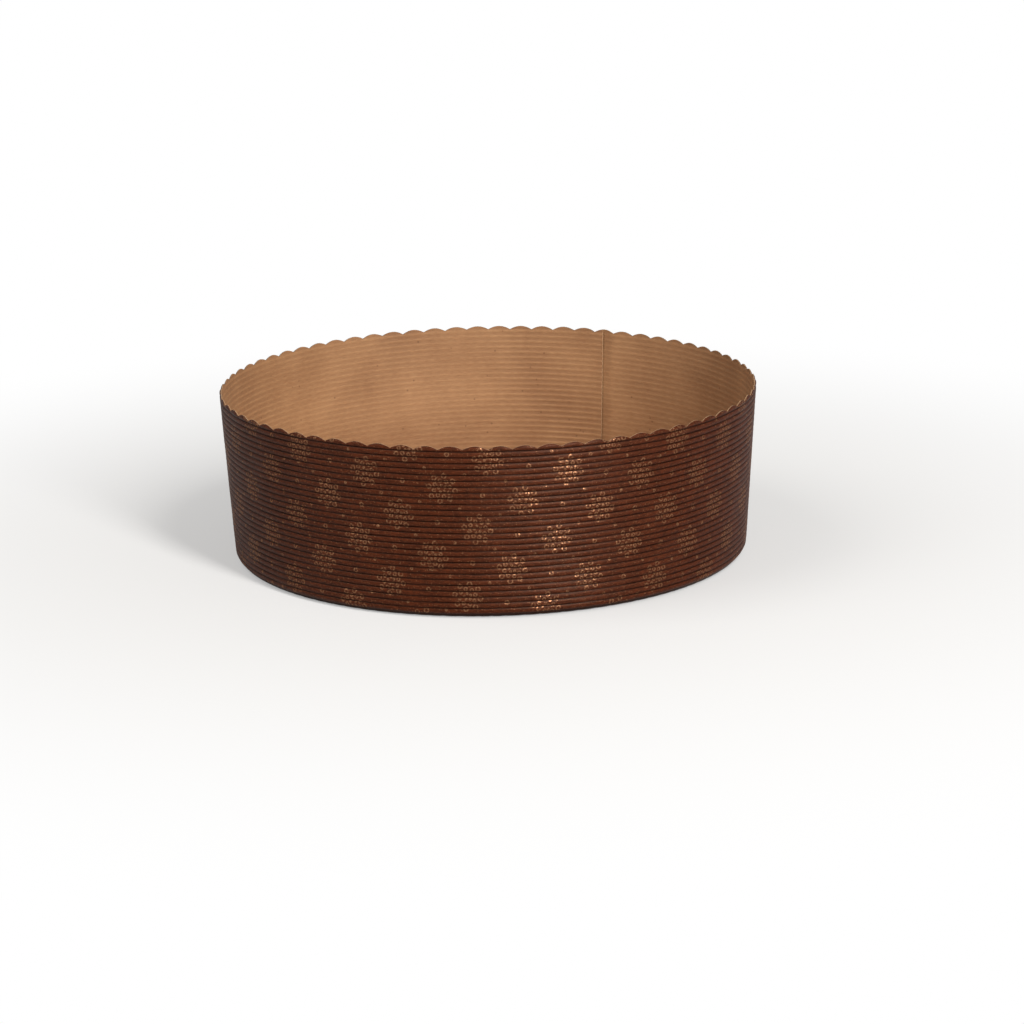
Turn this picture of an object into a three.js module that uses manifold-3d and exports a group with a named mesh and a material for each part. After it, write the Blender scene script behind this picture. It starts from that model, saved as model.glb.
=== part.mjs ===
// Low paper baking mold for panettone. The wall is a strip of single-face corrugated
// greaseproof paper: a flat kraft liner inside and a fluted printed paper outside, with the
// flutes running round. The strip is rolled into a slightly flared ring and glued where its
// ends lap. Its rim is cut in small scallops, and its foot is crushed flat, rounded and turned
// in under the base disc, which is glued on top of the turned-in hem.
// Millimetres, +Z up, the origin in the middle of the circle that the mold stands on.

import * as THREE from "three";
import { mergeVertices } from "three/addons/utils/BufferGeometryUtils.js";
import Module from "manifold-3d";

// Driving dimensions
const RIM_DIAMETER = 220; // outside, over the flutes at the rim
const BASE_DIAMETER = 210.8; // outside of the rounded foot
const HEIGHT = 69.6; // to the tips of the scallops

const LINER_THICKNESS = 0.2; // flat inner paper
const FLUTE_HEIGHT = 0.75; // fluted paper, from the liner to its crests
const FLUTE_VALLEY = 0.15; // the same paper in a valley, where it is glued to the liner
const FLUTE_PITCH = 2.35; // crest to crest
const TOP_VALLEY = 2.15; // the first valley, down from the scallops' tips
const CRUSHED_FLUTES = 0.4; // fluted paper where the foot is pressed flat
const GLUE_FILM = 0.02; // between any two glued papers

const FOOT_RADIUS = 4; // outside rounding of the foot
const CRUSH_LENGTH = 3; // stretch of the rounding in which the flutes die away
const HEM_WIDTH = 10; // flat part of the turned-in hem

const SCALLOP_COUNT = 72;
const SCALLOP_DEPTH = 1.4;

const SEAM_ANGLE = 62.7; // degrees, the strip's inner end, counter-clockwise from +X
const LAP_LENGTH = 22; // how far the strip's ends overlap
const LAP_RAMP = 5; // stretch in which the outer end climbs over the inner one

const DISC_THICKNESS = 0.5;
const DISC_CLEARANCE = 1; // from the disc's edge to the start of the foot's rounding
const VENT_DIAMETER = 2.5; // steam vents in the disc
const VENT_CIRCLE_DIAMETER = 110;
const VENT_COUNT = 6; // on the circle, with one more in the middle

// Fineness of the facets
const BODY_SEGMENTS = 37; // round the wall between the ends of the lap
const LAP_SEGMENTS = 2; // along the lap, the same in both of its layers
const SCALLOP_STEPS = 3; // straight cuts to a scallop
const DISC_SEGMENTS = 48;
const VENT_SEGMENTS = 8;

const wasm = await Module();
wasm.setup();

const TURN = 2 * Math.PI;
const { lerp, degToRad, clamp } = THREE.MathUtils;

// The wall's section, as points (radius, height). Everything is measured from the inside face
// of the liner, which is smooth all the way from the rim to the edge of the hem.
const wallStack = LINER_THICKNESS + GLUE_FILM + FLUTE_HEIGHT;
const hemStack = LINER_THICKNESS + GLUE_FILM + CRUSHED_FLUTES;
const footCentre = new THREE.Vector2(BASE_DIAMETER / 2 - FOOT_RADIUS, FOOT_RADIUS);
const liningRadius = FOOT_RADIUS - hemStack;

// The lean that brings the flutes' crests to the rim diameter at the rim.
const toRim = new THREE.Vector2(RIM_DIAMETER / 2, HEIGHT).sub(footCentre);
const crestOffset = liningRadius + wallStack;
const lean = Math.atan2(toRim.x, toRim.y) - Math.asin(crestOffset / toRim.length());

const footTop = new THREE.Vector2(Math.cos(lean), -Math.sin(lean))
  .multiplyScalar(liningRadius)
  .add(footCentre);
const wallLength = (HEIGHT - footTop.y) / Math.cos(lean);
const footEnd = wallLength + liningRadius * (Math.PI / 2 - lean);
const hemEnd = footEnd + HEM_WIDTH;

// A point of the liner's inside face and the direction out of the wall there, at a distance
// from the rim down the wall, round the foot and in along the hem.
function liningAt(distance) {
  const bend = clamp((distance - wallLength) / liningRadius, 0, Math.PI / 2 - lean);
  const out = new THREE.Vector2(Math.cos(lean + bend), -Math.sin(lean + bend));
  const point = out.clone().multiplyScalar(liningRadius).add(footCentre);
  const up = new THREE.Vector2(Math.sin(lean), Math.cos(lean));
  point.addScaledVector(up, Math.max(0, wallLength - distance));
  point.x -= Math.max(0, distance - footEnd);
  return { point, out };
}

// How flat the flutes are pressed, from 0 on the wall to 1 in the hem.
const crushAt = (distance) => clamp((distance - wallLength) / CRUSH_LENGTH, 0, 1);

// Outside of the fluted paper above the liner: a crest halfway between two valleys.
function fluteAt(distance) {
  const pitches = (distance - TOP_VALLEY) / FLUTE_PITCH;
  const crest = 2 * Math.abs(pitches - Math.round(pitches));
  const open = lerp(FLUTE_VALLEY, FLUTE_HEIGHT, crest);
  return lerp(open, CRUSHED_FLUTES, crushAt(distance));
}

// Distances down the strip, from above the scallops to the hem's edge: one on each crest and
// valley of the flutes, and the few that a smooth face needs to turn round the foot.
function stripRows() {
  const step = FLUTE_PITCH / 2;
  const rows = [];
  const top = TOP_VALLEY - Math.ceil(TOP_VALLEY / step + 1) * step;
  for (let distance = top; distance < footEnd - step / 4; distance += step) {
    rows.push(distance);
  }
  const fluted = [...rows, footEnd, hemEnd];
  const smooth = [top, ...fluted.filter((distance) => distance > wallLength - step)];
  return { fluted, smooth };
}

// Columns of the strip, from its inner end once round and over itself to its outer end.
// doubled: the hem is pressed to half its thickness, so that both layers of the lap fit.
// lift: the outer end rides on the layer beneath it.
function stripColumns() {
  const start = degToRad(SEAM_ANGLE);
  const lap = LAP_LENGTH / (RIM_DIAMETER / 2);
  const ramp = LAP_RAMP / (RIM_DIAMETER / 2);
  const columns = (from, to, segments, state) =>
    Array.from({ length: segments + 1 }, (_, i) => ({
      angle: lerp(from, to, i / segments),
      ...state,
    }));
  return [
    ...columns(start, start + lap, LAP_SEGMENTS, { doubled: 1, lift: 0 }),
    ...columns(start + lap + ramp, start + TURN - ramp, BODY_SEGMENTS, { doubled: 0, lift: 0 }),
    ...columns(start + TURN, start + TURN + lap, LAP_SEGMENTS, { doubled: 1, lift: 1 }),
  ];
}

// The strip's section at a column: an outline of (distance, height) points, with heights above
// the liner's inside face, pressed and lifted as the column says, as points (radius, height).
function sectionAt(outline, column) {
  const pressed = (hemStack - GLUE_FILM) / (2 * hemStack);
  return outline.map(([distance, height]) => {
    const { point, out } = liningAt(distance);
    const crush = crushAt(distance);
    const press = lerp(1, pressed, column.doubled * crush);
    const layer = press * lerp(wallStack, hemStack, crush) + GLUE_FILM;
    return point.addScaledVector(out, column.lift * layer + press * height);
  });
}

// A section stood up at an angle round the axis.
const turned = (section, angle) =>
  section.map(({ x, y }) => new THREE.Vector3(x * Math.cos(angle), x * Math.sin(angle), y));

// A closed body through sections, each a ring of as many points. The first and last section are
// capped with the triangles given, or the sections close on themselves and need no cap.
function loft(sections, cap = []) {
  const size = sections[0].length;
  const indices = [];
  for (let i = 0; i < sections.length - 1; i++) {
    for (let j = 0; j < size; j++) {
      const [a, b] = [i * size + j, i * size + ((j + 1) % size)];
      indices.push(a, b, b + size, a, b + size, a + size);
    }
  }
  const lastSection = (sections.length - 1) * size;
  for (const [a, b, c] of cap) {
    indices.push(a, b, c, lastSection + a, lastSection + c, lastSection + b);
  }
  const positions = sections.flat().flatMap((point) => point.toArray());
  const geometry = new THREE.BufferGeometry();
  geometry.setAttribute("position", new THREE.Float32BufferAttribute(positions, 3));
  geometry.setIndex(indices);
  return mergeVertices(geometry, 1e-4);
}

// One paper of the strip: its outside face comes down from the rim to the edge of the hem at
// one height above the liner's inside face, and its smooth inside face goes back at another.
function stripPaper(outsideRows, outsideAt, insideRows, inside) {
  const outline = [
    ...outsideRows.map((distance) => [distance, outsideAt(distance)]),
    ...insideRows.toReversed().map((distance) => [distance, inside]),
  ];
  const columns = stripColumns();
  const sections = columns.map((column) => turned(sectionAt(outline, column), column.angle));
  const cap = THREE.ShapeUtils.triangulateShape(sectionAt(outline, columns[0]), []);
  return loft(sections, cap);
}

function toManifold(geometry) {
  return new wasm.Manifold(
    new wasm.Mesh({
      numProp: 3,
      vertProperties: geometry.attributes.position.array,
      triVerts: Uint32Array.from(geometry.index.array),
    }),
  );
}

function toGeometry(solid) {
  const { vertProperties, triVerts } = solid.getMesh();
  const geometry = new THREE.BufferGeometry();
  geometry.setAttribute("position", new THREE.BufferAttribute(vertProperties, 3));
  geometry.setIndex(new THREE.BufferAttribute(triVerts, 1));
  return geometry;
}

// What is cut away above the rim: a ring whose underside is the line of scallops, with rounded
// tips and sharp valleys.
function rimWaste() {
  const margin = 5; // past the wall on every side
  const inner = RIM_DIAMETER / 2 - margin;
  const outer = RIM_DIAMETER / 2 + margin;
  const steps = SCALLOP_COUNT * SCALLOP_STEPS;
  const roundness = Math.sin(Math.PI / SCALLOP_STEPS);
  const sections = Array.from({ length: steps + 1 }, (_, i) => {
    const angle = ((i % steps) / steps) * TURN;
    const tip = Math.min(1, Math.sin((Math.PI * (i % SCALLOP_STEPS)) / SCALLOP_STEPS) / roundness);
    const cut = HEIGHT - SCALLOP_DEPTH * (1 - tip);
    const top = HEIGHT + margin;
    const section = [
      new THREE.Vector2(outer, top),
      new THREE.Vector2(outer, cut),
      new THREE.Vector2(inner, cut),
      new THREE.Vector2(inner, top),
    ];
    return turned(section, angle);
  });
  return loft(sections);
}

function linerGeometry(waste) {
  const { smooth } = stripRows();
  const liner = stripPaper(smooth, () => LINER_THICKNESS, smooth, 0);
  return toGeometry(toManifold(liner).subtract(waste));
}

// The fluted paper, with the tunnels behind its flutes closed.
function flutedGeometry(waste) {
  const { fluted, smooth } = stripRows();
  const glued = LINER_THICKNESS + GLUE_FILM;
  const paper = stripPaper(fluted, (distance) => glued + fluteAt(distance), smooth, glued);
  return toGeometry(toManifold(paper).subtract(waste));
}

// The points of a circle, for an outline or a round hole.
function circle(radius, segments, x = 0, y = 0) {
  return Array.from({ length: segments }, (_, i) => {
    const angle = (i / segments) * TURN;
    return new THREE.Vector2(x + radius * Math.cos(angle), y + radius * Math.sin(angle));
  });
}

// The base: a round of board on the hem, with steam vents.
function discGeometry() {
  const outline = new THREE.Shape(circle(footCentre.x - DISC_CLEARANCE, DISC_SEGMENTS));
  const ventCentres = [
    new THREE.Vector2(),
    ...circle(VENT_CIRCLE_DIAMETER / 2, VENT_COUNT),
  ];
  outline.holes = ventCentres.map(
    ({ x, y }) => new THREE.Path(circle(VENT_DIAMETER / 2, VENT_SEGMENTS, x, y)),
  );
  return new THREE.ExtrudeGeometry(outline, { depth: DISC_THICKNESS, bevelEnabled: false });
}

function part(name, geometry, color, roughness) {
  const material = new THREE.MeshStandardMaterial({ color, roughness, metalness: 0 });
  const mesh = new THREE.Mesh(geometry, material);
  mesh.name = name;
  return mesh;
}

const waste = toManifold(rimWaste());

const fluted = part("fluted_wall", flutedGeometry(waste), 0x4a2414, 0.5);
const liner = part("wall_liner", linerGeometry(waste), 0xb08257, 0.85);
const disc = part("base_disc", discGeometry(), 0xa97c52, 0.85);
disc.position.z = hemStack + GLUE_FILM;

const mold = new THREE.Group();
mold.add(fluted, liner, disc);

export default mold;
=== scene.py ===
"""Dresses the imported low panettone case: fluted printed wall, tan liner and base disc.

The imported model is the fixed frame. Each of its three nodes is replaced here by a fine mesh of
the same form, worked out with numpy from the strip's own sizes, and given the finish of the
real paper. Sizes are in millimetres until a mesh is made, and in metres from there on.
"""

from __future__ import annotations

import logging
import math
from collections.abc import Mapping
from dataclasses import dataclass
from enum import Enum
from functools import reduce
from typing import Any, TypeAlias

import bpy
import numpy as np
from mathutils import Matrix, Vector
from mathutils.geometry import delaunay_2d_cdt

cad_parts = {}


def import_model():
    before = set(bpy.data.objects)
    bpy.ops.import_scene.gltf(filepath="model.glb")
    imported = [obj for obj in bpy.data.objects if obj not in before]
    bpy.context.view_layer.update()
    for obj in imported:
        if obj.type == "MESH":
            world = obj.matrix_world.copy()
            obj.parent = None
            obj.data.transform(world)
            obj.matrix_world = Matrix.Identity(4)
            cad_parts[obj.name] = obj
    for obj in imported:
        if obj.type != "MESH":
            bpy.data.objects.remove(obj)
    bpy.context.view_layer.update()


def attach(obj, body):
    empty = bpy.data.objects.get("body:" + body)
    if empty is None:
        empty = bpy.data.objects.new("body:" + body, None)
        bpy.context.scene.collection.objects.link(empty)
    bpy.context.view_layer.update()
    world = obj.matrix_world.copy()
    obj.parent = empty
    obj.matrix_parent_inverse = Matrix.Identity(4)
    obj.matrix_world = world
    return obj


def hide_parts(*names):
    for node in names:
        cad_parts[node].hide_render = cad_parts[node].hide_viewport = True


LOG = logging.getLogger("panettone_case")

MM = 0.001
TURN = 2.0 * math.pi
BODY = "root"
PRINT_MAP = "print_mm"
RELIEF = "relief"
EDGE_HIGHLIGHT = "edge_highlight"
SHARP_ANGLE = math.radians(75.0)
ALL_TRIANGLES = 0
MERGE_DISTANCE = 1e-6
PICTURE_PIXELS = 1024

# What feeds a shader node's input: a node, one of its outputs, or a plain value.
Feed: TypeAlias = "bpy.types.Node | bpy.types.NodeSocket | float | tuple[float, ...]"


class Node(Enum):
    """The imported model's nodes."""

    WALL = "fluted_wall"
    LINER = "wall_liner"
    BASE = "base_disc"


class Slot(Enum):
    """Names of the material slots."""

    PRINTED = "printed_fluted_paper"
    KRAFT = "kraft_liner"
    BOARD = "base_board"


def linear(hex_colour: str) -> tuple[float, float, float, float]:
    """Turns an sRGB hex colour into the linear colour that a shader takes.

    Args:
        hex_colour: Six hex digits after a hash, such as "#4a2414".

    Returns:
        Red, green, blue and an alpha of 1.
    """
    channels = [int(hex_colour[i : i + 2], 16) / 255.0 for i in (1, 3, 5)]
    red, green, blue = (
        c / 12.92 if c <= 0.04045 else ((c + 0.055) / 1.055) ** 2.4 for c in channels
    )
    return red, green, blue, 1.0


def smooth_step(value: np.ndarray) -> np.ndarray:
    """Eases 0..1 in and out, and holds 0 before and 1 after."""
    t = np.clip(value, 0.0, 1.0)
    return t * t * (3.0 - 2.0 * t)


@dataclass(frozen=True)
class Ripple:
    """A soft random relief round the strip, as a sum of waves.

    Each wave is a cosine of (whole turns x angle + distance / its own length + a phase), so the
    relief closes on itself where the strip comes round.

    Attributes:
        depth: About the most that the relief rises or falls.
        seed: Seed of the random waves.
        turns: The most waves that go once round.
        length: The shortest wave down the strip, in millimetres.
        waves: The number of waves.
    """

    depth: float
    seed: int
    turns: int
    length: float
    waves: int = 8

    def at(self, angle: np.ndarray, distance: np.ndarray) -> np.ndarray:
        """Works out the relief.

        Args:
            angle: Angles round the case, in radians.
            distance: Distances down the strip, in millimetres, of a shape that fits angle's.

        Returns:
            The relief, about -depth to depth.
        """
        rng = np.random.default_rng(self.seed)
        total = np.zeros(np.broadcast(angle, distance).shape)
        for _ in range(self.waves):
            whole = int(rng.integers(1, self.turns + 1))
            slope = rng.uniform(-1.0, 1.0) * TURN / self.length
            phase = rng.uniform(0.0, TURN)
            total = total + np.cos(whole * angle + slope * distance + phase)
        return self.depth * total * 2.0 / self.waves


@dataclass(frozen=True)
class Strip:
    """The strip of single-face fluted paper that is rolled into the wall, in millimetres.

    Attributes:
        rim_diameter: Outside the flutes, at the scallops' tips.
        base_diameter: Outside the foot's rounding.
        height: From the floor to the scallops' tips.
        liner: Thickness of the flat paper.
        flute_height: Height of a crest above the fluted paper's glued back.
        flute_valley: Height of a valley above it.
        flute_pitch: From one valley to the next.
        flute_power: Power of the flutes' |sin| section.
        top_valley: From the tips down the strip to the first valley.
        crushed: Thickness of the fluted paper in the hem.
        glue_film: Gap between two glued faces.
        foot_radius: Outside radius of the foot's rounding.
        crush_length: How far down from the wall's end the flutes are crushed.
        hem_width: Width of the turned-in hem.
        scallops: How many there are round the rim.
        scallop_depth: From a tip to the valley beside it.
        scallop_power: Power of their |sin| outline.
        uneven_cut: How much their depth varies.
        seam_angle: Where the strip's inner end lies, in degrees from +X.
        lap_length: How far the strip laps over itself.
        lap_ramp: Length of the climb on to itself.
        end_press: Share of its thickness that is lost at a glued end.
        end_reach: How far from the end that press fades.
        end_gap: The least gap between an end and the next column, in columns.
        sway: How far the rim is out of round.
        sway_power: Power by which that grows up the wall.
        buckle: How far it buckles in shorter waves.
        columns_per_scallop: Columns of the mesh to a scallop.
    """

    rim_diameter: float = 220.0
    base_diameter: float = 210.8
    height: float = 69.6
    liner: float = 0.2
    flute_height: float = 0.75
    flute_valley: float = 0.08
    flute_pitch: float = 2.35
    flute_power: float = 0.6
    top_valley: float = 2.15
    crushed: float = 0.4
    glue_film: float = 0.02
    foot_radius: float = 4.0
    crush_length: float = 3.5
    hem_width: float = 10.0
    scallops: int = 72
    scallop_depth: float = 1.4
    scallop_power: float = 0.9
    uneven_cut: Ripple = Ripple(depth=0.12, seed=5, turns=60, length=50.0)
    seam_angle: float = 62.7
    lap_length: float = 22.0
    lap_ramp: float = 5.0
    end_press: float = 0.4
    end_reach: float = 2.0
    end_gap: float = 0.25
    sway: Ripple = Ripple(depth=0.3, seed=3, turns=5, length=400.0)
    sway_power: float = 1.5
    buckle: Ripple = Ripple(depth=0.1, seed=4, turns=30, length=260.0)
    columns_per_scallop: int = 8

    @property
    def wall_stack(self) -> float:
        """Thickness of both papers at a crest."""
        return self.liner + self.glue_film + self.flute_height

    @property
    def hem_stack(self) -> float:
        """Thickness of both papers where they are crushed."""
        return self.liner + self.glue_film + self.crushed

    @property
    def foot_centre(self) -> tuple[float, float]:
        """Centre of the foot's rounding, as (radius, height)."""
        return self.base_diameter / 2.0 - self.foot_radius, self.foot_radius

    @property
    def lining_radius(self) -> float:
        """Radius of the foot's rounding at the liner's inside face."""
        return self.foot_radius - self.hem_stack

    @property
    def lean(self) -> float:
        """Angle by which the wall leans out, in radians."""
        across = self.rim_diameter / 2.0 - self.foot_centre[0]
        up = self.height - self.foot_centre[1]
        offset = self.lining_radius + self.wall_stack
        return math.atan2(across, up) - math.asin(offset / math.hypot(across, up))

    @property
    def wall_length(self) -> float:
        """Distance from the rim to the start of the foot's rounding, down the inside."""
        foot_top = self.foot_centre[1] - self.lining_radius * math.sin(self.lean)
        return (self.height - foot_top) / math.cos(self.lean)

    @property
    def foot_end(self) -> float:
        """Distance from the rim to the end of the foot's rounding."""
        return self.wall_length + self.lining_radius * (math.pi / 2.0 - self.lean)

    @property
    def hem_end(self) -> float:
        """Distance from the rim to the edge of the turned-in hem."""
        return self.foot_end + self.hem_width

    def crush(self, distance: np.ndarray) -> np.ndarray:
        """How flat the flutes are pressed: 0 on the wall, 1 in the hem."""
        return smooth_step((distance - self.wall_length) / self.crush_length)

    def flute_wave(self, distance: np.ndarray) -> np.ndarray:
        """The flutes' section, 0 in a valley and 1 on a crest.

        It is |sin| of the distance in pitches, raised to a power under 1, which gives the
        paper's broad crests and its narrow valleys.
        """
        pitches = (distance - self.top_valley) / self.flute_pitch
        return np.abs(np.sin(np.pi * pitches)) ** self.flute_power

    def rim_cut(self, angle: np.ndarray) -> np.ndarray:
        """Distance from the scallops' tips down to the cut rim: |sin| arcs between valleys.

        Args:
            angle: Angles round the case, in radians.

        Returns:
            The distance at each angle, in millimetres.
        """
        tip = np.abs(np.sin(angle * self.scallops / 2.0)) ** self.scallop_power
        uneven = 1.0 + self.uneven_cut.at(angle, np.zeros_like(angle))
        return self.scallop_depth * (1.0 - tip) * uneven / math.cos(self.lean)

    def columns(self) -> tuple[np.ndarray, np.ndarray, np.ndarray, np.ndarray]:
        """The strip's columns, from its inner end once round and over itself.

        Returns:
            Their angles in radians, how far each rides on the layer beneath it, how far its hem
            is pressed to half its thickness under or over the other end, both 0 to 1, and the
            share of its thickness that is left where the glued ends are pressed flat.
        """
        step = TURN / (self.scallops * self.columns_per_scallop)
        start = math.radians(self.seam_angle)
        lap = self.lap_length / (self.rim_diameter / 2.0)
        ramp = self.lap_ramp / (self.rim_diameter / 2.0)
        end = start + TURN + lap
        first = math.ceil(start / step + self.end_gap)
        last = math.floor(end / step - self.end_gap)
        angle = np.concatenate(([start], np.arange(first, last + 1) * step, [end]))
        lift = smooth_step((angle - (start + TURN - ramp)) / ramp)
        under = smooth_step((start + lap + ramp - angle) / ramp)
        to_end = np.minimum(angle - start, end - angle) * self.rim_diameter / 2.0
        share = 1.0 - self.end_press * np.exp(-((to_end / self.end_reach) ** 2))
        return angle, lift, np.maximum(lift, under), share

    def place(
        self, distance: np.ndarray, height: np.ndarray, columns: tuple[np.ndarray, ...]
    ) -> np.ndarray:
        """Puts points of the strip in space.

        The liner's inside face is a straight line down the wall, an arc round the foot and a
        straight line in along the hem. A point lies at its height out from that face, pressed
        and lifted as its column says, and the section is turned to the column's angle. The wall
        sways out of round and buckles a little, more towards the rim.

        Args:
            distance: Distances down the strip, one row for each point of the section.
            height: Heights above the liner's inside face, of the same shape.
            columns: Angle, lift, doubling and share of thickness of each column.

        Returns:
            Points in millimetres, of distance's shape with a last axis of 3.
        """
        angle, lift, doubled, share = columns
        bend = (distance - self.wall_length) / self.lining_radius
        bend = np.clip(bend, 0.0, math.pi / 2.0 - self.lean) + self.lean
        up = np.maximum(0.0, self.wall_length - distance)
        centre_r, centre_z = self.foot_centre
        radius = centre_r + self.lining_radius * np.cos(bend) + math.sin(self.lean) * up
        radius = radius - np.maximum(0.0, distance - self.foot_end)
        z = centre_z - self.lining_radius * np.sin(bend) + math.cos(self.lean) * up

        crush = self.crush(distance)
        pressed = (self.hem_stack - self.glue_film) / (2.0 * self.hem_stack)
        press = 1.0 + (pressed - 1.0) * doubled * crush
        stack = self.wall_stack + (self.hem_stack - self.wall_stack) * crush
        out = lift * (press * stack + self.glue_film) + press * share * height
        out = out - crush * np.maximum(0.0, out - self.hem_stack)
        rise = (up / self.wall_length) ** self.sway_power
        sway = rise * self.sway.at(angle, distance)
        sway = sway + np.sqrt(rise) * self.buckle.at(angle, distance)
        radius = radius + np.cos(bend) * out + sway
        z = z - np.sin(bend) * out
        return np.stack((radius * np.cos(angle), radius * np.sin(angle), z), axis=-1)


@dataclass
class StripPaper:
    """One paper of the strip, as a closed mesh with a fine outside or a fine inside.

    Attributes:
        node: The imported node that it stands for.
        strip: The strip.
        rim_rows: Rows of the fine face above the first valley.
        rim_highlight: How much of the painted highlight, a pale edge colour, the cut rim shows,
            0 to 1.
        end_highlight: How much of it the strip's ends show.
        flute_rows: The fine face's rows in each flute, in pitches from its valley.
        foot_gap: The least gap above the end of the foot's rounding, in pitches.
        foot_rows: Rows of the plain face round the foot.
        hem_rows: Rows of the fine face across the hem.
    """

    node: Node
    strip: Strip = Strip()
    rim_rows: int = 5
    rim_highlight: float = 0.3
    end_highlight: float = 0.9
    flute_rows: tuple[float, ...] = (0.0, 0.1, 0.32, 0.68, 0.9)
    foot_gap: float = 0.1
    foot_rows: int = 6
    hem_rows: int = 3

    def fine_rows(self, cut: np.ndarray) -> np.ndarray:
        """Distances of a face that shows the flutes, from the cut rim to the hem's edge.

        Args:
            cut: Distance of the cut rim at each column.

        Returns:
            A grid with a row for each step down the strip and a column for each of cut's.
        """
        strip = self.strip
        band = np.linspace(0.0, 1.0, self.rim_rows, endpoint=False)[:, None]
        rim = cut + (strip.top_valley - cut) * band
        flutes = math.ceil((strip.foot_end - strip.top_valley) / strip.flute_pitch)
        down = (np.arange(flutes)[:, None] + np.array(self.flute_rows)).ravel()
        down = strip.top_valley + strip.flute_pitch * down
        down = down[down < strip.foot_end - strip.flute_pitch * self.foot_gap]
        hem = np.linspace(strip.foot_end, strip.hem_end, self.hem_rows)
        rows = np.concatenate((down, hem))[:, None]
        return np.concatenate((rim, np.broadcast_to(rows, (len(rows), len(cut)))))

    def plain_rows(self, cut: np.ndarray) -> np.ndarray:
        """Distances of a face that is hidden or smooth, from the hem's edge up to the rim.

        Args:
            cut: Distance of the cut rim at each column.

        Returns:
            A grid with a row for each step up the strip and a column for each of cut's.
        """
        strip = self.strip
        foot = np.linspace(strip.wall_length, strip.foot_end, self.foot_rows)
        rows = np.concatenate(([strip.top_valley], foot, [strip.hem_end]))[:, None]
        grid = np.concatenate((cut[None, :], np.broadcast_to(rows, (len(rows), len(cut)))))
        return grid[::-1]

    def mesh(
        self, rows: np.ndarray, heights: np.ndarray, paint: np.ndarray, rim: int
    ) -> bpy.types.Object:
        """Makes the paper's object from closed sections, with a cap at each end of the strip.

        Args:
            rows: Distances, one row for each point of the closed section.
            heights: Heights above the liner's inside face.
            paint: A value from 0 to 1 at each point, kept as the mesh's relief attribute, which
                sets the painted shade.
            rim: The point of the section from which the cut rim leads on to the next point.

        Returns:
            The object, in metres, with its print map in millimetres.
        """
        columns = self.strip.columns()
        points = self.strip.place(rows, heights, columns)
        size, sections = rows.shape
        index = np.arange(size * sections).reshape(size, sections)
        below = np.roll(index, -1, axis=0)
        quads = np.stack(
            (index[:, :-1], below[:, :-1], below[:, 1:], index[:, 1:]), axis=-1
        ).reshape(-1, 4)
        faces = [*quads.tolist(), index[::-1, 0].tolist(), index[:, -1].tolist()]
        data = bpy.data.meshes.new(self.node.value)
        data.from_pydata((points.reshape(-1, 3) * MM).tolist(), [], faces)
        round_mm = self.strip.rim_diameter / 2.0
        along = np.broadcast_to(columns[0] * round_mm, rows.shape)
        finish_mesh(data, np.stack((along, rows), axis=-1).reshape(-1, 2), paint.reshape(-1))
        # Painted highlight: the cut rim and the strip's two end caps take a pale edge colour.
        cut = np.zeros((size, sections - 1))
        cut[rim] = self.rim_highlight
        edge_highlight = data.attributes.new(EDGE_HIGHLIGHT, "FLOAT", "FACE")
        ends = (self.end_highlight, self.end_highlight)
        edge_highlight.data.foreach_set("value", np.append(cut.ravel(), ends).astype(np.float32))
        return new_object(f"{self.node.value}_paper", data)


def finish_mesh(data: bpy.types.Mesh, print_map: np.ndarray, relief: np.ndarray) -> None:
    """Gives a mesh its print map and relief attribute, and shades it smooth up to creases.

    Args:
        data: The mesh.
        print_map: Place of each vertex on the flat paper, in millimetres.
        relief: A value from 0 to 1 for each vertex, which sets the material's painted shade.
    """
    corner_vertex = np.empty(len(data.loops), dtype=np.int32)
    data.loops.foreach_get("vertex_index", corner_vertex)
    layer = data.uv_layers.new(name=PRINT_MAP)
    layer.uv.foreach_set("vector", print_map[corner_vertex].astype(np.float32).ravel())
    attribute = data.attributes.new(RELIEF, "FLOAT", "POINT")
    attribute.data.foreach_set("value", relief.astype(np.float32))
    data.polygons.foreach_set("use_smooth", np.ones(len(data.polygons), dtype=bool))
    data.set_sharp_from_angle(angle=SHARP_ANGLE)
    data.validate()
    data.update()


def new_object(name: str, data: bpy.types.Mesh) -> bpy.types.Object:
    """Links a new object for a mesh at the origin.

    Args:
        name: The object's name.
        data: The mesh.

    Returns:
        The object.
    """
    piece = bpy.data.objects.new(name, data)
    bpy.context.scene.collection.objects.link(piece)
    return piece


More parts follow.
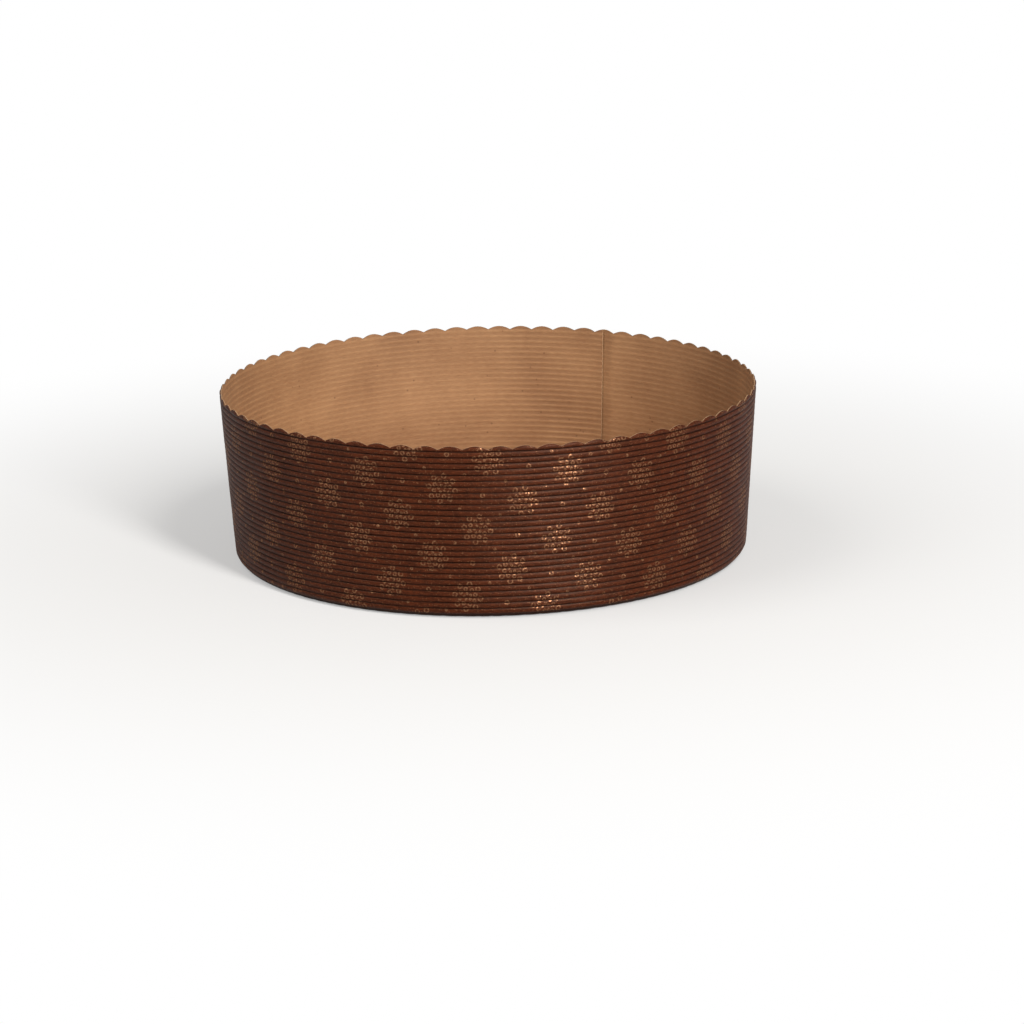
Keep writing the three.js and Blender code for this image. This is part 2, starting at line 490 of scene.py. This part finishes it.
@dataclass
class FlutedPaper(StripPaper):
    """The outside paper: broad round flutes, crushed flat and gathered in the foot."""

    node: Node = Node.WALL
    rim_highlight: float = 0.2
    drift: Ripple = Ripple(depth=0.07, seed=11, turns=24, length=30.0)
    uneven: Ripple = Ripple(depth=0.06, seed=12, turns=40, length=9.0)
    gathers: int = 108
    gather_depth: float = 0.22
    gather_power: int = 8
    gather_drift: Ripple = Ripple(depth=1.0, seed=13, turns=30, length=9.0)
    # Tone of the painted contact shadow in the crushed foot, against 1 on a crest.
    hem_shade_tone: float = 0.2
    rim_pinch: float = 0.6
    pinch_reach: float = 0.7

    def outside(self, rows: np.ndarray, angle: np.ndarray) -> tuple[np.ndarray, np.ndarray]:
        """Heights of the outside face and how near each point is to a crest.

        The flute wave is pinched by the cut of the rim, with an exponential of the distance to
        it, and fades into the crushed thickness round the foot. There, narrow creases run
        across the hem, deeper towards its edge: a high power of a cosine of the angle.

        Args:
            rows: Distances down the strip.
            angle: Angle of each column.

        Returns:
            The heights above the back of the paper, and the painted shade tone: 0 in a valley, 1
            on a crest, low in the crushed foot as a painted contact shadow.
        """
        strip = self.strip
        wave = strip.flute_wave(rows + self.drift.at(angle, rows))
        pinch = self.rim_pinch * np.exp((rows[0] - rows) / self.pinch_reach)
        open_height = strip.flute_valley + (strip.flute_height - strip.flute_valley) * wave
        open_height = open_height * (1.0 - pinch) * (1.0 + self.uneven.at(angle, rows))
        crush = strip.crush(rows)
        turned_in = np.clip((rows - strip.wall_length) / strip.hem_width, 0.0, 1.0)
        drift = self.gather_drift.at(angle, np.zeros_like(rows))
        crease = np.cos(angle * self.gathers / 2.0 + drift) ** self.gather_power
        hem_height = strip.crushed - self.gather_depth * crease * turned_in
        height = (1.0 - crush) * np.minimum(open_height, strip.flute_height)
        # The second value is painted shade: dark in the valleys, and in the crushed foot as a
        # contact shadow.
        return height + crush * hem_height, wave * (1.0 - crush) + self.hem_shade_tone * crush

    def build(self) -> bpy.types.Object:
        """Makes the paper as a closed skin with a smooth back against the liner.

        Returns:
            The object.
        """
        angle = self.strip.columns()[0]
        cut = self.strip.rim_cut(angle)
        rows = self.fine_rows(cut)
        glued = self.strip.liner + self.strip.glue_film
        height, crest = self.outside(rows, angle)
        back = self.plain_rows(cut)
        return self.mesh(
            np.concatenate((rows, back)),
            np.concatenate((glued + height, np.full(back.shape, glued))),
            np.concatenate((crest, np.zeros(back.shape))),
            len(rows) + len(back) - 1,
        )


@dataclass
class LinerPaper(StripPaper):
    """The inside paper: plain kraft, sunk a little into each flute that it bridges."""

    node: Node = Node.LINER
    sink: float = 0.09
    patchy: Ripple = Ripple(depth=0.45, seed=21, turns=14, length=60.0)
    sink_by_seam: float = 0.07
    seam_reach: float = 45.0
    creases: tuple[float, ...] = (77.6, 95.8, 107.5, 131.0, 214.0, 336.0)
    crease_depth: float = 0.09
    crease_width: float = 0.9
    crease_fade: float = 0.3
    fade_length: float = 9.0

    def inside(self, rows: np.ndarray, angle: np.ndarray) -> tuple[np.ndarray, np.ndarray]:
        """Heights of the inside face and how deep each point is sunk, 0 to 1.

        Between two glue lines the damp liner draws in towards the flute, by a sine of the
        distance in pitches, more strongly in the first stretch after the lap. A few narrow
        creases run from the rim to the foot, each a bell curve of the distance from its angle.

        Args:
            rows: Distances down the strip.
            angle: Angle of each column.

        Returns:
            The heights above the flat inside face, and how deep each point is sunk.
        """
        strip = self.strip
        pitches = (rows - strip.top_valley) / strip.flute_pitch
        sunk = 0.5 - 0.5 * np.cos(TURN * pitches)
        past_seam = (angle - angle[0]) * strip.rim_diameter / 2.0
        by_seam = np.exp(-((past_seam / self.seam_reach) ** 2))
        patchy = 1.0 + self.patchy.at(angle, rows)
        depth = (self.sink * patchy + self.sink_by_seam * by_seam) * (1.0 - strip.crush(rows))
        most = self.sink + self.sink_by_seam
        folds = np.radians(self.creases)[:, None]
        from_fold = np.abs(angle - folds) * strip.rim_diameter / 2.0 / self.crease_width
        crease = self.crease_depth * np.exp(-(from_fold**2)).sum(axis=0)
        fade = 1.0 - self.crease_fade * (1.0 - np.sin(rows / self.fade_length))
        crease = crease * (1.0 - strip.crush(rows)) * fade
        return depth * sunk + crease, np.clip(depth * sunk / most, 0.0, 1.0)

    def build(self) -> bpy.types.Object:
        """Makes the paper as a closed sheet with a smooth back against the flutes.

        Returns:
            The object.
        """
        angle = self.strip.columns()[0]
        cut = self.strip.rim_cut(angle)
        rows = self.fine_rows(cut)
        back = self.plain_rows(cut)
        depth, sunk = self.inside(rows, angle)
        heights = np.concatenate((depth, np.full(back.shape, self.strip.liner)))
        relief = np.concatenate((sunk, np.zeros(back.shape)))
        # The section runs the other way round here, because its fine face is the inner one, and
        # its last point leads on to its first, which is the top of the back.
        section = np.concatenate((rows, back))
        return self.mesh(section[::-1], heights[::-1], relief[::-1], len(section) - 1)


@dataclass
class BaseDisc:
    """The base: a round of board glued on the hem, sagging a little inside it, with vents."""

    strip: Strip = Strip()
    thickness: float = 0.5
    clearance: float = 1.0
    vent_diameter: float = 2.5
    vent_circle: float = 110.0
    vents: int = 6
    sag: float = 0.3
    sag_reach: float = 5.0
    sag_limit: float = 1.6
    uneven: Ripple = Ripple(depth=0.5, seed=31, turns=7, length=90.0)
    rings: int = 44
    spokes: int = 180
    vent_corners: int = 20
    vent_room: float = 1.5
    vent_edge: float = 0.98

    def outline(self) -> tuple[np.ndarray, list[np.ndarray]]:
        """Draws the disc flat.

        Returns:
            Its edge and its vents as loops of points, in millimetres.
        """

        def loop(radius: float, count: int, x: float, y: float) -> np.ndarray:
            angle = np.arange(count) * TURN / count
            return np.stack((x + radius * np.cos(angle), y + radius * np.sin(angle)), -1)

        edge = loop(self.strip.foot_centre[0] - self.clearance, self.spokes, 0.0, 0.0)
        places = np.vstack(([[0.0, 0.0]], loop(self.vent_circle / 2.0, self.vents, 0.0, 0.0)))
        radius = self.vent_diameter / 2.0
        return edge, [loop(radius, self.vent_corners, x, y) for x, y in places]

    def flat_mesh(self) -> tuple[np.ndarray, np.ndarray, np.ndarray]:
        """Fills the outline with triangles over rings of points, leaving the vents open.

        Returns:
            The points, the triangles, and the edge pairs round the outline and the vents.
        """
        edge, vents = self.outline()
        loops = [edge, *vents]
        radius = np.linspace(0.0, np.hypot(*edge[0]), self.rings + 1)[1:-1]
        angle = np.arange(self.spokes // 2) * 2.0 * TURN / self.spokes
        inner = np.stack(
            (np.outer(radius, np.cos(angle)), np.outer(radius, np.sin(angle))), -1
        ).reshape(-1, 2)
        centres = np.array([vent.mean(axis=0) for vent in vents])
        apart = np.linalg.norm(inner[:, None] - centres[None], axis=-1).min(axis=1)
        inner = inner[apart > self.vent_diameter / 2.0 * self.vent_room]
        starts = np.cumsum([0, *(len(each) for each in loops)])
        rings = np.vstack(
            [
                np.stack((np.arange(n), np.roll(np.arange(n), -1)), -1) + start
                for n, start in zip((len(each) for each in loops), starts)
            ]
        )
        flat = [Vector(point) for point in np.vstack((*loops, inner)).tolist()]
        points, _, faces, *_ = delaunay_2d_cdt(
            flat, rings.tolist(), [], ALL_TRIANGLES, MERGE_DISTANCE
        )
        xy = np.array([tuple(point) for point in points])
        triangles = np.array([face for face in faces if len(face) == 3])
        middle = xy[triangles].mean(axis=1)
        clear = np.linalg.norm(middle[:, None] - centres[None], axis=-1).min(axis=1)
        triangles = triangles[clear > self.vent_diameter / 2.0 * self.vent_edge]
        a, b, c = (xy[triangles[:, i]] for i in range(3))
        turn = np.cross(b - a, c - a)
        triangles[turn < 0] = triangles[turn < 0][:, ::-1]
        return xy, triangles, rings

    def build(self) -> bpy.types.Object:
        """Makes the disc: a top and an underside that sag alike, and walls round every edge.

        Returns:
            The object.
        """
        xy, triangles, rings = self.flat_mesh()
        count = len(xy)
        radius = np.hypot(xy[:, 0], xy[:, 1])
        angle = np.arctan2(xy[:, 1], xy[:, 0])
        hem_edge = self.strip.foot_centre[0] - self.strip.hem_width
        inside_hem = smooth_step((hem_edge - radius) / self.sag_reach)
        uneven = np.clip(1.0 + self.uneven.at(angle, radius), 0.0, self.sag_limit)
        seat = self.strip.hem_stack + self.strip.glue_film
        low = seat - self.sag * inside_hem * uneven
        bottom = np.column_stack((xy, low))
        top = np.column_stack((xy, low + self.thickness))
        start, end = rings.T
        walls = np.column_stack((start, end, end + count, start + count))
        walls[self.spokes :] = walls[self.spokes :, ::-1]
        faces = [
            *triangles[:, ::-1].tolist(),
            *(triangles + count).tolist(),
            *walls.tolist(),
        ]
        data = bpy.data.meshes.new(Node.BASE.value)
        data.from_pydata((np.vstack((bottom, top)) * MM).tolist(), [], faces)
        finish_mesh(data, np.vstack((xy, xy)), np.zeros(2 * count))
        return new_object(f"{Node.BASE.value}_board", data)


@dataclass(frozen=True)
class Noise:
    """Cloudy noise on the flat paper.

    Attributes:
        scale: How many lumps there are to a millimetre.
        detail: The number of finer layers on top of the first.
        roughness: How strong each finer layer is against the one before it.
    """

    scale: float
    detail: float
    roughness: float = 0.5


class Graph:
    """A material's shader nodes."""

    def __init__(self, name: str) -> None:
        """Starts an empty material.

        Args:
            name: The material's name.
        """
        self.material = bpy.data.materials.new(name)
        self.material.use_nodes = True
        self.tree = self.material.node_tree
        self.tree.nodes.clear()

    def add(
        self, kind: str, inputs: Mapping[int | str, Feed] | None = None, **settings: Any
    ) -> bpy.types.Node:
        """Adds a node.

        Args:
            kind: Blender's name for the node's type.
            inputs: A value for each named or numbered input, or the output that feeds it.
            **settings: The node's own settings.

        Returns:
            The node.
        """
        node = self.tree.nodes.new(kind)
        for name, value in settings.items():
            setattr(node, name, value)
        for key, value in (inputs or {}).items():
            if isinstance(value, bpy.types.Node):
                value = value.outputs[0]
            if isinstance(value, bpy.types.NodeSocket):
                self.tree.links.new(value, node.inputs[key])
            else:
                node.inputs[key].default_value = value
        return node

    def number(self, operation: str, *values: Feed) -> bpy.types.Node:
        """Adds an operation on one, two or three numbers."""
        return self.add("ShaderNodeMath", dict(enumerate(values)), operation=operation)

    def vector(self, operation: str, *values: Feed) -> bpy.types.NodeSocket:
        """Adds an operation on one or two vectors, and returns its vector or its number."""
        node = self.add("ShaderNodeVectorMath", dict(enumerate(values)), operation=operation)
        return node.outputs["Value" if operation in ("DISTANCE", "LENGTH") else "Vector"]

    def ramp(
        self,
        value: Feed,
        edges: tuple[float, float],
        low: float = 0.0,
        high: float = 1.0,
        **settings: Any,
    ) -> bpy.types.Node:
        """Maps a value from between two edges to between two others, and holds it beyond them.

        Args:
            value: The value.
            edges: Where the change starts and ends.
            low: The result up to the first edge.
            high: The result from the second edge on.
            **settings: The node's own settings.

        Returns:
            The node.
        """
        inputs = {0: value, 1: edges[0], 2: edges[1], 3: low, 4: high}
        return self.add("ShaderNodeMapRange", inputs, **settings)

    def blend(self, share: Feed, first: Feed, second: Feed) -> bpy.types.NodeSocket:
        """Mixes two colours, by the share of the second."""
        inputs = {"Factor": share, "A": first, "B": second}
        return self.add("ShaderNodeMix", inputs, data_type="RGBA").outputs["Result"]

    def noise(self, place: Feed, noise: Noise) -> bpy.types.Node:
        """Adds noise at a place."""
        inputs = {"Scale": noise.scale, "Detail": noise.detail, "Roughness": noise.roughness}
        return self.add("ShaderNodeTexNoise", {"Vector": place, **inputs})

    def attribute(self, name: str) -> bpy.types.NodeSocket:
        """Reads a number that the mesh keeps."""
        return self.add("ShaderNodeAttribute", attribute_name=name).outputs["Fac"]

    def bump(self, height: Feed, strength: float, depth: float) -> bpy.types.Node:
        """Adds relief of a depth in millimetres, for the normals alone."""
        inputs = {"Height": height, "Strength": strength, "Distance": depth * MM}
        return self.add("ShaderNodeBump", inputs)

    def finish(self, surface: bpy.types.Node) -> bpy.types.Material:
        """Connects the surface to the output and returns the material."""
        self.add("ShaderNodeOutputMaterial", {"Surface": surface})
        return self.material


@dataclass(frozen=True)
class Wreath:
    """Small printed rings in a circle round the middle of a rosette, in millimetres.

    Attributes:
        count: The number of rings.
        radius: Radius of the circle that they stand on.
        ring: Radius of each ring.
        turned: By how many rings' room the wreath is turned.
    """

    count: int
    radius: float
    ring: float
    turned: float = 0.0


@dataclass(frozen=True)
class PrintedGreaseproof:
    """Dark brown greaseproof paper, printed with staggered rosettes in copper ink.

    The paper is supercalendered, which gives it a soft sheen along the crests of its flutes.
    The ink holds metal flakes, so it goes from dull rust in the shade to pale gold where it
    mirrors a light. Lengths are in millimetres on the flat paper, and askew is in degrees.
    """

    paper: str = "#331205"
    paper_pale: str = "#52230e"
    mottled: tuple[float, float] = (0.5, 0.76)
    # valley and crests paint shade into the flutes' valleys and the crushed foot, by the relief
    # attribute.
    valley: str = "#1c0702"
    crests: tuple[float, float] = (0.22, 0.72)
    # A pale colour painted on the cut edges as a highlight.
    edge_highlight: str = "#c09672"
    ink: str = "#9e7152"
    ink_cover: float = 0.96
    worn: tuple[float, float] = (0.43, 0.56)
    worn_share: float = 0.08
    dust: float = 0.55
    dusty: tuple[float, float] = (0.58, 0.68)
    roughness: float = 0.44
    ink_roughness: float = 0.29
    specular: float = 0.24
    specular_tint: str = "#f2cfb8"
    stretch: tuple[float, float, float] = (0.45, 2.4, 1.0)
    fibre: Noise = Noise(scale=1.0, detail=3.0, roughness=0.65)
    cloud: Noise = Noise(scale=0.12, detail=2.0)
    cloud_share: float = 0.25
    fleck: Noise = Noise(scale=1.25, detail=3.0, roughness=0.7)
    grain_strength: float = 0.8
    grain_depth: float = 0.12
    across: float = 31.9
    down: float = 13.9
    first: tuple[float, float] = (531.8, 22.0)
    askew: float = 9.5
    line: float = 0.48
    line_edges: tuple[float, float] = (0.3, 0.75)
    wreaths: tuple[Wreath, ...] = (
        Wreath(count=8, radius=5.2, ring=0.84, turned=0.5),
        Wreath(count=8, radius=3.2, ring=0.62),
        Wreath(count=5, radius=1.35, ring=0.34),
    )
    side_ring: float = 0.75
    corner_ring: float = 0.4

    def band(self, graph: Graph, distance: Feed, size: float) -> bpy.types.Node:
        """A printed line: 1 where a distance is within half a line of a size, 0 away from it.

        Args:
            graph: The material's nodes.
            distance: The distance, in millimetres.
            size: The distance at which the line is drawn.

        Returns:
            The node that holds the mask.
        """
        apart = graph.number("ABSOLUTE", graph.number("SUBTRACT", distance, size))
        solid, faded = self.line_edges
        return graph.ramp(apart, (self.line * solid, self.line * faded), 1.0, 0.0)

    def wreath(
        self, graph: Graph, radius: Feed, angle: Feed, wreath: Wreath
    ) -> bpy.types.Node:
        """A wreath of rings: the angle is folded into one sector, with one ring in its middle.

        Args:
            graph: The material's nodes.
            radius: Distance from the rosette's middle, in millimetres.
            angle: Angle round it, in radians.
            wreath: The wreath.

        Returns:
            The node that holds the mask.
        """
        sector = TURN / wreath.count
        turns = graph.number("MULTIPLY_ADD", angle, 1.0 / sector, wreath.turned)
        part = graph.number("FRACT", turns)
        folded = graph.number("MULTIPLY_ADD", part, sector, -sector / 2.0)
        direction = graph.add(
            "ShaderNodeCombineXYZ",
            {0: graph.number("COSINE", folded), 1: graph.number("SINE", folded)},
        )
        place = graph.add(
            "ShaderNodeVectorMath", {0: direction, "Scale": radius}, operation="SCALE"
        )
        apart = graph.vector("DISTANCE", place, (wreath.radius, 0.0, 0.0))
        return self.band(graph, apart, wreath.ring)

    def rosettes(self, graph: Graph, flat: bpy.types.Node) -> bpy.types.Node:
        """The print's mask: rosettes in staggered rows, and small rings between them.

        The rows run a little askew to the flutes, and each is shifted by half a rosette's room
        against the next. A place on the paper is folded into the room of one rosette, and the
        wreaths are drawn round its middle.

        Args:
            graph: The material's nodes.
            flat: Place on the flat paper, in millimetres.

        Returns:
            The node that holds the mask.
        """
        room = (self.across, self.down, 1.0)
        half = (0.5, 0.5, 0.0)
        from_first = graph.vector("SUBTRACT", flat, (*self.first, 0.0))
        level = graph.add(
            "ShaderNodeVectorRotate",
            {"Vector": from_first, "Angle": -math.radians(self.askew)},
            rotation_type="Z_AXIS",
        )
        rooms = graph.vector("ADD", graph.vector("DIVIDE", level, room), half)
        split = graph.add("ShaderNodeSeparateXYZ", {0: rooms})
        column, row = split.outputs["X"], split.outputs["Y"]
        shifted = graph.number("MULTIPLY_ADD", graph.number("FLOOR", row), half[0], column)
        staggered = graph.add("ShaderNodeCombineXYZ", {0: shifted, 1: row})
        centred = graph.vector("SUBTRACT", graph.vector("FRACTION", staggered), half)
        place = graph.vector("MULTIPLY", centred, room)

        radius = graph.vector("LENGTH", place)
        axes = graph.add("ShaderNodeSeparateXYZ", {0: place})
        angle = graph.number("ARCTAN2", axes.outputs["Y"], axes.outputs["X"])
        masks = [self.wreath(graph, radius, angle, wreath) for wreath in self.wreaths]
        folded = graph.vector("ABSOLUTE", place)
        singles = (
            ((self.across / 2.0, 0.0, 0.0), self.side_ring),
            ((self.across / 4.0, self.down / 2.0, 0.0), self.corner_ring),
        )
        for centre, size in singles:
            masks.append(self.band(graph, graph.vector("DISTANCE", folded, centre), size))
        return reduce(lambda first, second: graph.number("MAXIMUM", first, second), masks)

    def material(self) -> bpy.types.Material:
        """Makes the material: mottled paper with painted shade in its valleys and its foot,
        under a broken print.

        Returns:
            The material.
        """
        graph = Graph("greaseproof_paper_printed")
        flat = graph.add("ShaderNodeUVMap", uv_map=PRINT_MAP)
        fibre = graph.noise(graph.vector("MULTIPLY", flat, self.stretch), self.fibre)
        cloud = graph.noise(flat, self.cloud)
        uneven = graph.number("MULTIPLY_ADD", cloud, self.cloud_share, fibre)
        mottle = graph.ramp(uneven, self.mottled)
        paper = graph.blend(mottle, linear(self.paper), linear(self.paper_pale))

        fleck = graph.noise(flat, self.fleck)
        wear = graph.ramp(fleck, self.worn, self.worn_share * self.ink_cover, self.ink_cover)
        kept = graph.number("MULTIPLY", self.rosettes(graph, flat), wear)
        dust = graph.ramp(fleck, self.dusty, 0.0, self.dust)
        ink = graph.number("MAXIMUM", kept, dust)
        printed = graph.blend(ink, paper, linear(self.ink))
        # Painted shade: the valley colour darkens the valleys and the foot.
        raised = graph.ramp(graph.attribute(RELIEF), self.crests)
        shaded = graph.blend(raised, linear(self.valley), printed)
        surface = graph.add(
            "ShaderNodeBsdfPrincipled",
            {
                # The pale edge colour is a painted highlight on the cut edges.
                "Base Color": graph.blend(graph.attribute(EDGE_HIGHLIGHT), shaded, linear(self.edge_highlight)),
                "Metallic": ink,
                "Roughness": graph.ramp(ink, (0.0, 1.0), self.roughness, self.ink_roughness),
                "Specular IOR Level": self.specular,
                "Specular Tint": linear(self.specular_tint),
                "Normal": graph.bump(
                    graph.number("ADD", fibre, fleck), self.grain_strength, self.grain_depth
                ),
            },
        )
        return graph.finish(surface)


@dataclass(frozen=True)
class KraftPaper:
    """Unbleached kraft: long brown fibres, rough and matt, with darker specks of bark."""

    name: str = "kraft_paper_unbleached"
    pale: str = "#ac8158"
    dark: str = "#916743"
    toned: tuple[float, float] = (0.68, 1.32)
    # Painted shade where the liner sinks between its glue lines.
    sunk: str = "#704a2e"
    sunk_shade_share: float = 0.6
    # A pale colour painted on the cut edges as a highlight.
    edge_highlight: str = "#e0c09a"
    speck: str = "#5e3d24"
    speck_cover: float = 0.5
    speck_scale: float = 0.16
    speck_edges: tuple[float, float] = (0.05, 0.09)
    roughness: float = 0.78
    stretch: tuple[float, float, float] = (0.35, 2.2, 1.0)
    fibre: Noise = Noise(scale=1.0, detail=4.0)
    cloud: Noise = Noise(scale=0.05, detail=3.0)
    grain_strength: float = 0.4
    grain_depth: float = 0.05

    def material(self) -> bpy.types.Material:
        """Makes the material: fibres drawn out along the strip, sparse specks, and painted soft
        shade where the liner is sunk between its glue lines.

        Returns:
            The material.
        """
        graph = Graph(self.name)
        flat = graph.add("ShaderNodeUVMap", uv_map=PRINT_MAP)
        fibre = graph.noise(graph.vector("MULTIPLY", flat, self.stretch), self.fibre)
        mixed = graph.number("ADD", fibre, graph.noise(flat, self.cloud))
        tone = graph.ramp(mixed, self.toned)
        paper = graph.blend(tone, linear(self.dark), linear(self.pale))
        # Painted shade: darker where the liner is sunk, by the relief attribute.
        shade = graph.number("MULTIPLY", graph.attribute(RELIEF), self.sunk_shade_share)
        striped = graph.blend(shade, paper, linear(self.sunk))
        cells = graph.add("ShaderNodeTexVoronoi", {"Vector": flat, "Scale": self.speck_scale})
        specks = graph.ramp(
            cells.outputs["Distance"], self.speck_edges, self.speck_cover, 0.0
        )
        flecked = graph.blend(specks, striped, linear(self.speck))
        surface = graph.add(
            "ShaderNodeBsdfPrincipled",
            {
                # The pale edge colour is a painted highlight on the cut edges.
                "Base Color": graph.blend(graph.attribute(EDGE_HIGHLIGHT), flecked, linear(self.edge_highlight)),
                "Roughness": self.roughness,
                "Normal": graph.bump(fibre, self.grain_strength, self.grain_depth),
            },
        )
        return graph.finish(surface)


@dataclass(frozen=True)
class SoftBox:
    """A rectangular soft box that faces the object.

    Attributes:
        name: Its name.
        azimuth: Where it stands round the object, in degrees from the camera's side towards the
            camera's right.
        elevation: Its angle above the floor, in degrees.
        away: Its distance from the middle of the case, in metres.
        wide: Its width, in metres.
        tall: Its height, in metres.
        power: Its power, in watts.
    """

    name: str
    azimuth: float
    elevation: float
    away: float
    wide: float
    tall: float
    power: float

    def build(self) -> None:
        """Hangs the soft box and turns it to the object."""
        lamp = bpy.data.lights.new(self.name, "AREA")
        lamp.shape = "RECTANGLE"
        lamp.size, lamp.size_y = self.wide, self.tall
        lamp.energy = self.power
        turn, tilt = math.radians(self.azimuth), math.radians(self.elevation)
        level = self.away * math.cos(tilt)
        place = Vector(
            (level * math.sin(turn), -level * math.cos(turn), self.away * math.sin(tilt))
        )
        facing = (-place).to_track_quat("-Z", "Y").to_matrix().to_4x4()
        holder = bpy.data.objects.new(self.name, lamp)
        holder.matrix_world = Matrix.Translation(place) @ facing
        bpy.context.scene.collection.objects.link(holder)


@dataclass(frozen=True)
class Studio:
    """A plain pale floor under soft light, and the camera at the photograph's angle.

    The key light is a tall, narrow box on the right of the camera, which draws one upright band
    of sheen on the flutes. The fill is wide and weak, high on the left. The floor's gap and the
    camera's distance and aim are in millimetres, and the floor's other sizes in metres.
    """

    floor: str = "#bab8b5"
    floor_half: float = 6.0
    floor_gap: float = 0.03
    floor_glow: float = 0.34
    white_edges: tuple[float, float] = (0.13, 0.42)
    sky: float = 0.3
    elevation: float = 15.09
    roll: float = -1.11
    distance: float = 1467.0
    focal_pixels: float = 3543.0
    aim: tuple[float, float] = (8.88, 14.15)
    sensor: float = 36.0
    key: SoftBox = SoftBox(
        "key_softbox", azimuth=29.0, elevation=32.0, away=2.4, wide=0.38, tall=2.0, power=70.0
    )
    fill: SoftBox = SoftBox(
        "fill_softbox", azimuth=-70.0, elevation=50.0, away=2.4, wide=1.6, tall=1.6, power=19.0
    )

    def floor_paint(self) -> bpy.types.Material:
        """Makes the floor's paint: matt near the case, white to the camera further out.

        It keeps the shadow near the case, and lets a view from below see the underside.

        Returns:
            The material.
        """
        graph = Graph("painted_floor_matt")
        seen = graph.add("ShaderNodeLightPath").outputs["Is Camera Ray"]
        paint = graph.add("ShaderNodeBsdfDiffuse", {"Color": linear(self.floor)})
        glow = graph.add(
            "ShaderNodeEmission", {"Strength": graph.number("MULTIPLY", seen, self.floor_glow)}
        )
        both = graph.add("ShaderNodeAddShader", {0: paint, 1: glow})
        away = graph.vector("LENGTH", graph.add("ShaderNodeTexCoord").outputs["Object"])
        far = graph.ramp(away, self.white_edges, interpolation_type="SMOOTHSTEP")
        white = graph.number("MULTIPLY", far, seen)
        plain = graph.add("ShaderNodeEmission", {"Strength": 1.0})
        backdrop = graph.add("ShaderNodeMixShader", {0: white, 1: both, 2: plain})
        behind = graph.add("ShaderNodeNewGeometry").outputs["Backfacing"]
        glass = graph.add("ShaderNodeBsdfTransparent")
        one_way = graph.add("ShaderNodeMixShader", {0: behind, 1: backdrop, 2: glass})
        return graph.finish(one_way)

    def build_floor(self) -> None:
        """Makes the floor, a hair below the hem."""
        data = bpy.data.meshes.new("studio_floor")
        half, low = self.floor_half, -self.floor_gap * MM
        signs = ((-1, -1), (1, -1), (1, 1), (-1, 1))
        data.from_pydata([(half * x, half * y, low) for x, y in signs], [], [(0, 1, 2, 3)])
        data.materials.append(self.floor_paint())
        new_object("studio_floor", data)

    def build_sky(self) -> None:
        """Lights the room evenly."""
        world = bpy.data.worlds.new("studio_room")
        world.use_nodes = True
        background = world.node_tree.nodes["Background"]
        background.inputs["Strength"].default_value = self.sky
        background.inputs["Color"].default_value = (1.0, 1.0, 1.0, 1.0)
        bpy.context.scene.world = world

    def build_camera(self) -> None:
        """Places the camera on a level line of sight that is turned down and rolled."""
        tilt, roll = math.radians(self.elevation), math.radians(self.roll)
        forward = Vector((0.0, math.cos(tilt), -math.sin(tilt)))
        level_up = Vector((0.0, math.sin(tilt), math.cos(tilt)))
        level_right = Vector((1.0, 0.0, 0.0))
        right = math.cos(roll) * level_right + math.sin(roll) * level_up
        up = math.cos(roll) * level_up - math.sin(roll) * level_right
        place = Vector((self.aim[0], 0.0, self.aim[1])) * MM - forward * self.distance * MM
        lens = bpy.data.cameras.new("product_camera")
        lens.sensor_width = self.sensor
        lens.lens = self.focal_pixels / PICTURE_PIXELS * self.sensor
        camera = bpy.data.objects.new("product_camera", lens)
        turned = Matrix((right, up, -forward)).transposed().to_4x4()
        camera.matrix_world = Matrix.Translation(place) @ turned
        bpy.context.scene.collection.objects.link(camera)
        bpy.context.scene.camera = camera

    def build(self) -> None:
        """Sets up the whole studio."""
        self.build_camera()
        self.build_floor()
        self.build_sky()
        self.key.build()
        self.fill.build()
        bpy.context.scene.view_settings.view_transform = "Standard"


def dress(
    piece: bpy.types.Object, finish: bpy.types.Material, node: Node
) -> None:
    """Gives a piece its finish and puts it in its node's place.

    Args:
        piece: The piece.
        finish: Its material.
        node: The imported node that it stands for.
    """
    piece.data.materials.append(finish)
    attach(piece, BODY)
    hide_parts(node.value)
    LOG.info("%s: %d vertices for %s", piece.name, len(piece.data.vertices), node.value)


def main() -> None:
    logging.basicConfig(level=logging.INFO, format="%(name)s: %(message)s")
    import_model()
    Studio().build()
    dress(FlutedPaper().build(), PrintedGreaseproof().material(), Node.WALL)
    dress(LinerPaper().build(), KraftPaper().material(), Node.LINER)
    board = KraftPaper(name="kraft_board", pale="#c39566", dark="#a87a50")
    dress(BaseDisc().build(), board.material(), Node.BASE)


if __name__ == "__main__":
    main()
